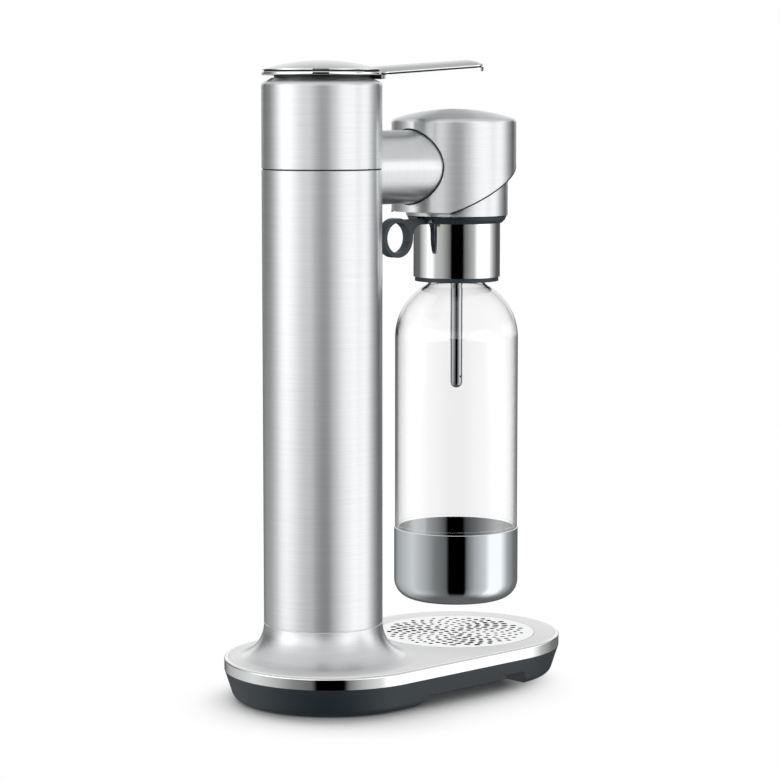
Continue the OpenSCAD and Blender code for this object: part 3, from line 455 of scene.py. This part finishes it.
def brushed_steel(name, finish, axis, node):
    """Stainless steel, brushed round a node's axis: fine lines that smear reflections across the brushing."""
    material, tree = blank(name)
    here = place(tree)
    # Direction of the brushing: across both the axis and the arm from it
    arm = vector_maths(tree, "SUBTRACT", here, middle(node))
    along = [float(letter == axis) for letter in "XYZ"]
    tangent = vector_maths(tree, "CROSS_PRODUCT", along, arm.outputs[0])
    # The real lines are about 0.1 mm apart, too fine to show, so they are drawn at brush_pitch.
    scale = [1 / finish.brush_length] * 3
    scale["XYZ".index(axis)] = 1 / finish.brush_pitch
    stretched = add(tree, "ShaderNodeMapping", {"Vector": here, "Scale": scale})
    lines = add(
        tree,
        "ShaderNodeTexNoise",
        {"Vector": stretched.outputs[0], "Scale": 1.0, "Detail": 4.0, "Roughness": 0.7},
    ).outputs[0]
    edge = add(tree, "ShaderNodeBevel", {"Radius": finish.edge_round}, samples=4)
    shader = add(
        tree,
        "ShaderNodeBsdfPrincipled",
        {
            "Base Color": tint(tree, lines, darker(finish.brushed, HOLLOW_SHARE), list(finish.brushed)),
            "Metallic": 1.0,
            "Anisotropic": 0.9,
            "Anisotropic Rotation": 0.25,
            "Roughness": spread(tree, lines, BRUSHED),
            "Normal": bump(tree, lines, strength=0.1, distance=0.02 * MM, Normal=edge.outputs[0]),
            "Tangent": tangent.outputs[0],
        },
    )
    close(tree, shader)
    return material


def polished_steel(name, colour):
    """Stainless steel, buffed to a mirror: a clean reflection with faint buffing haze and no grain to see."""
    material, tree = blank(name)
    rough = spread(tree, noise(tree, BUFFING_PATCH, detail=2.0), MIRROR)
    shader = add(
        tree,
        "ShaderNodeBsdfPrincipled",
        {"Base Color": list(colour), "Metallic": 1.0, "Roughness": rough},
    )
    close(tree, shader)
    return material


def blasted_metal(name, colour, roughness, metal=1.0, relief=BLASTED_RELIEF):
    """Alloy, steel or brass, blasted or left as made: a soft sheen with no sharp reflections."""
    material, tree = blank(name)
    shader = add(
        tree,
        "ShaderNodeBsdfPrincipled",
        {
            "Base Color": list(colour),
            "Metallic": metal,
            "Roughness": spread(tree, noise(tree, BLASTING_PATCH, detail=2.0), roughness),
            "Normal": bump(tree, noise(tree, BLASTED_PIT, detail=2.0), relief, distance=0.01 * MM),
        },
    )
    close(tree, shader)
    return material


def moulded_plastic(name, finish, colour, roughness):
    """ABS or rubber from a finely eroded mould: an even dark face with a soft sheen, also used as painted
    shade in the lever's groove.
    """
    material, tree = blank(name)
    # The eroded grain is about 0.15 mm wide, too fine to show, so it is drawn at grain_pitch.
    grain = noise(tree, finish.grain_pitch, detail=3.0)
    patches = noise(tree, MOULDING_PATCH, detail=2.0)
    shader = add(
        tree,
        "ShaderNodeBsdfPrincipled",
        {
            "Base Color": tint(tree, patches, darker(colour, PATCH_SHARE), list(colour)),
            "Roughness": spread(tree, grain, (roughness - GRAIN_ROUGH, roughness + GRAIN_ROUGH)),
            "IOR": 1.53,
            "Normal": bump(tree, grain, strength=0.15, distance=0.05 * MM),
        },
    )
    close(tree, shader)
    return material


def clear_polyester(name, colour):
    """PET, blow moulded: water clear, with a very slight waviness that bends what shows through it."""
    material, tree = blank(name)
    waves = noise(tree, BLOWING_WAVE, detail=1.0)
    shader = add(
        tree,
        "ShaderNodeBsdfPrincipled",
        {
            "Base Color": list(colour),
            "Roughness": 0.0,
            "IOR": 1.5,
            "Transmission Weight": 1.0,
            "Normal": bump(tree, waves, strength=0.04, distance=0.1 * MM),
        },
    )
    close(tree, shader)
    return material


def camera_heading(stage):
    """Angle round the object at which the camera stands, in radians."""
    return math.atan2(stage.eye[1], stage.eye[0])


def studio_world(stage):
    """World that is white to the eye, an even fill on the object, and a studio of cards in reflections."""
    world = bpy.data.worlds.new("studio")
    bpy.context.scene.world = world
    world.use_nodes = True
    tree = world.node_tree
    tree.nodes.clear()
    coords = add(tree, "ShaderNodeTexCoord")
    rotation = (0, 0, -camera_heading(stage))
    turned = add(tree, "ShaderNodeMapping", {"Vector": coords.outputs["Generated"], "Rotation": rotation})
    parts = add(tree, "ShaderNodeSeparateXYZ", {"Vector": turned.outputs[0]})
    height = parts.outputs["Z"]
    angle = maths(tree, "ARCTAN2", parts.outputs["Y"], parts.outputs["X"])
    round_share = add(tree, "ShaderNodeMapRange", {"Value": angle, "From Min": -math.pi, "From Max": math.pi})
    cards, low_cards, strips = (
        ramp(tree, round_share.outputs[0], steps, TURN_START, TURN_SPAN)
        for steps in (CARDS, LOW_CARDS, STRIPS)
    )
    backdrop = ramp(tree, height, BACKDROP, 0, 1)
    turn = maths(tree, "ABSOLUTE", angle)
    behind = fade(tree, turn, BEHIND_FADE)
    # The strip lights hang over the front cards, under a grey ceiling, and start lower beside the black flag.
    beside = maths(tree, "GREATER_THAN", turn, FLAG_TURN)
    lifted = maths(tree, "MULTIPLY_ADD", beside, FLAG_RISE, height)
    ceiling = blend(tree, fade(tree, height, CEILING_FADE), strips, CEILING_LEVEL)
    over = blend(tree, behind, fade(tree, lifted, FRONT_FADE), fade(tree, height, REAR_FADE))
    above = blend(tree, behind, ceiling, backdrop)
    level = blend(tree, fade(tree, height, LOW_FADE), cards, low_cards)
    level = blend(tree, over, level, above)
    level = blend(tree, fade(tree, height, GROUND_FADE), level, GROUND_LEVEL)
    path = add(tree, "ShaderNodeLightPath")
    # A ray that has been reflected meets the studio, also when it has passed through the bottle.
    reflected = maths(tree, "GREATER_THAN", path.outputs["Glossy Depth"], ONE_REFLECTION)
    plain = blend(tree, seen_directly(tree, path), stage.fill, 1.0)
    strength = blend(tree, reflected, plain, level)
    sky = add(tree, "ShaderNodeBackground", {"Color": (1, 1, 1, 1), "Strength": strength})
    add(tree, "ShaderNodeOutputWorld", {"Surface": sky.outputs[0]})


def paper_floor(stage):
    """Matt white paper: it takes the object's soft shadow and turns plain white away from it."""
    material, tree = blank("matt_paper_floor")
    # Distance from the shadow's outline: a stadium along the base, shorter than it and moved aside
    low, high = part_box("base_skid")
    half_width = (high.x - low.x) / 2
    half_straight = (high.y - low.y) / 2 - half_width - abs(stage.shadow_shift[1])
    moved = vector_maths(tree, "SUBTRACT", place(tree), stage.shadow_shift)
    parts = add(tree, "ShaderNodeSeparateXYZ", {"Vector": moved.outputs[0]})
    side = maths(tree, "ABSOLUTE", parts.outputs["Y"])
    past = maths(tree, "SUBTRACT", side, half_straight)
    beyond = maths(tree, "MAXIMUM", past, 0.0)
    flat = add(tree, "ShaderNodeCombineXYZ", {"X": parts.outputs["X"], "Y": beyond})
    reach = vector_maths(tree, "LENGTH", flat.outputs[0]).outputs["Value"]
    away = fade(tree, reach, (half_width + stage.fade_start, half_width + stage.fade_end))
    share = maths(tree, "MULTIPLY", seen_directly(tree, add(tree, "ShaderNodeLightPath")), away)
    paper = add(tree, "ShaderNodeBsdfDiffuse", {"Color": list(stage.floor_colour)})
    white = add(tree, "ShaderNodeEmission", {"Strength": 1.0})
    close(tree, add(tree, "ShaderNodeMixShader", {0: share, 1: paper.outputs[0], 2: white.outputs[0]}))
    return material


class StageOperator(bpy.types.Operator):
    """Sets the floor, the light, the world and the camera."""

    bl_idname = "water_maker.stage"
    bl_label = "Set the Stage"

    def execute(self, context):
        stage = context.scene.water_maker_stage
        context.scene.view_settings.view_transform = "Standard"
        studio_world(stage)
        bpy.ops.mesh.primitive_circle_add(vertices=FLOOR_CORNERS, radius=stage.floor_radius, fill_type="NGON")
        floor = context.active_object
        floor.name = "studio_floor"
        floor.data.materials.append(paper_floor(stage))
        floor.visible_glossy = False
        centre = Vector((0, 0, CAD_BOX[1].z / 2))
        for name, (turn, rise, distance, width, height, power) in LAMPS.items():
            light = bpy.data.lights.new(name, "AREA")
            light.shape = "RECTANGLE"
            light.size = width
            light.size_y = height
            light.energy = power
            lamp = bpy.data.objects.new(name, light)
            context.scene.collection.objects.link(lamp)
            around = camera_heading(stage) + math.radians(turn)
            up = math.radians(rise)
            away = Vector((math.cos(around) * math.cos(up), math.sin(around) * math.cos(up), math.sin(up)))
            lamp.location = centre + away * distance
            lamp.rotation_euler = (-away).to_track_quat("-Z", "Y").to_euler()
            lamp.visible_camera = False
            lamp.visible_glossy = False
        camera = bpy.data.objects.new("camera", bpy.data.cameras.new("camera"))
        context.scene.collection.objects.link(camera)
        camera.location = stage.eye
        camera.rotation_euler = Vector(stage.aim).to_track_quat("-Z", "Y").to_euler()
        camera.data.lens = stage.lens
        camera.data.clip_end = 2 * stage.floor_radius + CLIP_MARGIN
        context.scene.camera = camera
        return {"FINISHED"}


class BaseOperator(bpy.types.Operator):
    """Dresses the skid, its feet, screws and hatch, the deck and its edge band."""

    bl_idname = "water_maker.base"
    bl_label = "Finish the Base"

    def execute(self, context):
        finish = context.scene.water_maker_finish
        skid = moulded_plastic("moulded_abs_skid", finish, finish.slate, SKID_ROUGH)
        dress(skid, "base_skid", "hatch_cover")
        dress(moulded_plastic("moulded_rubber_feet", finish, finish.rubber, FEET_ROUGH), "rubber_feet")
        dress(blasted_metal("zinc_plated_screws", finish.cast, PLATED), "base_screws")
        dress(blasted_metal("satin_plated_deck", finish.satin, SATIN, DECK_METAL), "base_deck")
        flare = brushed_steel("turned_deck_flare", finish, "Z", "column_tube")
        dress_where(flare, "base_deck", lambda face: face.normal.z < DECK_LEVEL)
        dress(polished_steel("polished_edge_band", finish.polished), "edge_band")
        return {"FINISHED"}


class TrayOperator(bpy.types.Operator):
    """Dresses the drip cup, its well and its grille."""

    bl_idname = "water_maker.tray"
    bl_label = "Finish the Drip Tray"

    def execute(self, context):
        finish = context.scene.water_maker_finish
        black = moulded_plastic("moulded_abs_drip_cup", finish, finish.rubber, TRAY_ROUGH)
        dress(black, "drip_cup", "tray_well")
        dress(polished_steel("polished_grille", finish.polished), "drip_grille")
        # The walls of the holes are coloured dark as painted shade against the polished plate.
        hole_shade = blasted_metal("painted_shade_hole_walls", finish.rubber, DULL)
        dress_where(hole_shade, "drip_grille", upright)
        return {"FINISHED"}


class ColumnOperator(bpy.types.Operator):
    """Dresses the column tube, its sleeve, gasket and neck, and the frame inside."""

    bl_idname = "water_maker.column"
    bl_label = "Finish the Column"

    def execute(self, context):
        finish = context.scene.water_maker_finish
        column = brushed_steel("brushed_steel_column", finish, "Z", "column_tube")
        dress(column, "column_tube", "upper_sleeve")
        dress(moulded_plastic("moulded_rubber_gasket", finish, finish.rubber, SEAL_ROUGH), "seam_gasket")
        dress(moulded_plastic("moulded_abs_neck", finish, finish.slate, SKID_ROUGH), "lever_neck")
        dress(blasted_metal("cast_alloy_frame", finish.cast, DULL), "inner_frame")
        return {"FINISHED"}


class LeverOperator(bpy.types.Operator):
    """Dresses the lever with a satin top and polished edges, and its pin and bracket."""

    bl_idname = "water_maker.lever"
    bl_label = "Finish the Lever"

    def execute(self, context):
        finish = context.scene.water_maker_finish
        dress(polished_steel("polished_lever_edge", finish.polished), "lever")
        top = blasted_metal("satin_plated_lever", finish.polished, FINE_SATIN, relief=FINE_RELIEF)
        dress_where(top, "lever", lambda face: face.normal.z > LEVER_TOP)
        # The groove and the root faces that look at the column are coloured dark as painted shade in these
        # hollows.
        groove = moulded_plastic("painted_shade_lever_groove", finish, finish.rubber, GROOVE_SHADE_ROUGH)
        dress_where(groove, "lever", in_groove("lever", LEVER_GROOVE))
        dress_where(groove, "lever", inward("column_tube"))
        dress(blasted_metal("turned_steel_pins", finish.cast, SMOOTH), "lever_pin", "lever_bracket")
        return {"FINISHED"}


def drum_painted_shadow_line(material, height):
    """Thin dark strip under the outer edge of the drum's slanted mouth: a painted shadow line where the drum
    nearly meets its core.
    """
    low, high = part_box("head_shell")
    axis = middle("head_shell")
    radius = (high.x - low.x) / 2
    shell = NODES["head_shell"].data
    mouth = (face for face in shell.polygons if face.normal.z < MOUTH_DOWN and face.normal.y < MOUTH_FRONT)
    corners = (shell.vertices[i].co for face in mouth for i in face.vertices)
    rim = {}
    for corner in corners:
        out = Vector((corner.x - axis.x, corner.y - axis.y, 0))
        if out.length > radius - RIM_BAND:
            rim[round(math.atan2(out.x, -out.y), ANGLE_DIGITS)] = (corner.copy(), out.normalized())
    down = -UP * height
    shape = bmesh.new()
    loops = []
    for turn in sorted(rim):
        edge, out = rim[turn]
        outer = edge + out * TRIM_PROUD
        inner = edge - out * TRIM_DEPTH
        loops.append([shape.verts.new(corner) for corner in (outer, outer + down, inner + down, inner)])
    for here, there in zip(loops, loops[1:]):
        for i in range(len(here)):
            shape.faces.new((here[i - 1], here[i], there[i], there[i - 1]))
    shape.faces.new(loops[0])
    shape.faces.new(reversed(loops[-1]))
    bmesh.ops.recalc_face_normals(shape, faces=shape.faces)
    mesh = bpy.data.meshes.new("drum_painted_shadow_line")
    shape.to_mesh(mesh)
    shape.free()
    mesh.materials.append(material)
    trim = bpy.data.objects.new("drum_painted_shadow_line", mesh)
    bpy.context.scene.collection.objects.link(trim)
    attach(trim, "base")


class HeadOperator(bpy.types.Operator):
    """Dresses the arm, the drum, its core and the fittings inside, and adds the dark trim under the drum's
    mouth as a painted shadow line.
    """

    bl_idname = "water_maker.head"
    bl_label = "Finish the Head"

    def execute(self, context):
        finish = context.scene.water_maker_finish
        dress(brushed_steel("brushed_steel_arm", finish, "Y", "arm_tube"), "arm_tube")
        for name in ("head_shell", "head_core"):
            dress(brushed_steel(f"brushed_steel_{name}", finish, "Z", name), name)
        # The dark trim is painted shadow: it stands for the shade in the narrow gap under the drum's mouth.
        drum_painted_shadow_line(moulded_plastic("painted_shadow_trim", finish, finish.rubber, SEAL_ROUGH), finish.trim)
        seals = moulded_plastic("moulded_rubber_seals", finish, finish.rubber, SEAL_ROUGH)
        dress(seals, "arm_seal", "head_seal")
        dress(moulded_plastic("moulded_abs_socket", finish, finish.slate, SOCKET_ROUGH), "head_socket")
        dress(blasted_metal("drawn_steel_pipe", finish.cast, SMOOTH), "gas_pipe")
        dress(blasted_metal("turned_brass_nozzle", finish.brass, SMOOTH), "gas_nozzle")
        return {"FINISHED"}


class CapOperator(bpy.types.Operator):
    """Dresses the cap, its collar, rings and gasket, the release ring and the dip tube."""

    bl_idname = "water_maker.cap"
    bl_label = "Finish the Cap"

    def execute(self, context):
        finish = context.scene.water_maker_finish
        slate = moulded_plastic("moulded_abs_cap", finish, finish.slate, CAP_ROUGH)
        dress(slate, "cap_body", "cap_base_ring", "release_ring")
        dress(polished_steel("polished_collar", finish.polished), "cap_collar")
        gasket = moulded_plastic("moulded_rubber_cap_gasket", finish, finish.rubber, SEAL_ROUGH)
        dress(gasket, "cap_gasket")
        dress(blasted_metal("turned_steel_ring_pin", finish.cast, SMOOTH), "ring_pin")
        dress(polished_steel("drawn_dip_tube", finish.tube), "dip_tube")
        return {"FINISHED"}


class BottleOperator(bpy.types.Operator):
    """Dresses the bottle and its steel cup."""

    bl_idname = "water_maker.bottle"
    bl_label = "Finish the Bottle"

    def execute(self, context):
        finish = context.scene.water_maker_finish
        dress(clear_polyester("blow_moulded_bottle", finish.clear), "bottle")
        # Light passes through the clear bottle, so it throws no solid shadow.
        NODES["bottle"].visible_shadow = False
        dress(polished_steel("polished_bottle_cup", finish.cup), "bottle_cup")
        # The cup mirrors the studio's cards down to its foot, and not what stands close round it.
        for name, node in NODES.items():
            node.visible_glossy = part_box(name)[0].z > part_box("bottle_cup")[1].z
        # The inside is a mirror too, drawn darker because the cup shades it.
        inside = polished_steel("polished_cup_inside", darker(finish.cup, SHADED_SHARE))
        dress_where(inside, "bottle_cup", inward("bottle_cup"))
        return {"FINISHED"}


class GasOperator(bpy.types.Operator):
    """Dresses the gas cylinder, its valve and the push rod with its spring."""

    bl_idname = "water_maker.gas"
    bl_label = "Finish the Gas System"

    def execute(self, context):
        finish = context.scene.water_maker_finish
        steel = blasted_metal("drawn_steel_works", finish.cast, DRAWN)
        dress(steel, "co2_cylinder", "push_rod", "return_spring")
        dress(blasted_metal("turned_brass_valve", finish.brass, SMOOTH), "cylinder_valve", "valve_pin")
        dress(blasted_metal("cast_alloy_block", finish.cast, DULL), "valve_block")
        seal = moulded_plastic("moulded_rubber_valve_seal", finish, finish.rubber, SEAL_ROUGH)
        dress(seal, "valve_seal")
        return {"FINISHED"}


OPERATORS = (
    StageOperator,
    BaseOperator,
    TrayOperator,
    ColumnOperator,
    LeverOperator,
    HeadOperator,
    CapOperator,
    BottleOperator,
    GasOperator,
)


class WaterMakerPanel(bpy.types.Panel):
    """Lists the settings and the steps of the water maker."""

    bl_idname = "VIEW3D_PT_water_maker"
    bl_label = "Sparkling Water Maker"
    bl_space_type = "VIEW_3D"
    bl_region_type = "UI"
    bl_category = "Water Maker"

    def draw(self, context):
        for operator in OPERATORS:
            self.layout.operator(operator.bl_idname)
        for settings in (context.scene.water_maker_finish, context.scene.water_maker_stage):
            box = self.layout.box()
            for name in settings.__annotations__:
                box.prop(settings, name)


CLASSES = (FinishSettings, StageSettings, *OPERATORS, WaterMakerPanel)


def register():
    for kind in CLASSES:
        bpy.utils.register_class(kind)
    bpy.types.Scene.water_maker_finish = bpy.props.PointerProperty(type=FinishSettings)
    bpy.types.Scene.water_maker_stage = bpy.props.PointerProperty(type=StageSettings)


def unregister():
    del bpy.types.Scene.water_maker_stage
    del bpy.types.Scene.water_maker_finish
    for kind in reversed(CLASSES):
        bpy.utils.unregister_class(kind)


def main():
    """Runs every step in order."""
    register()
    for operator in OPERATORS:
        group, step = operator.bl_idname.split(".")
        getattr(getattr(bpy.ops, group), step)()


if __name__ == "__main__":
    main()
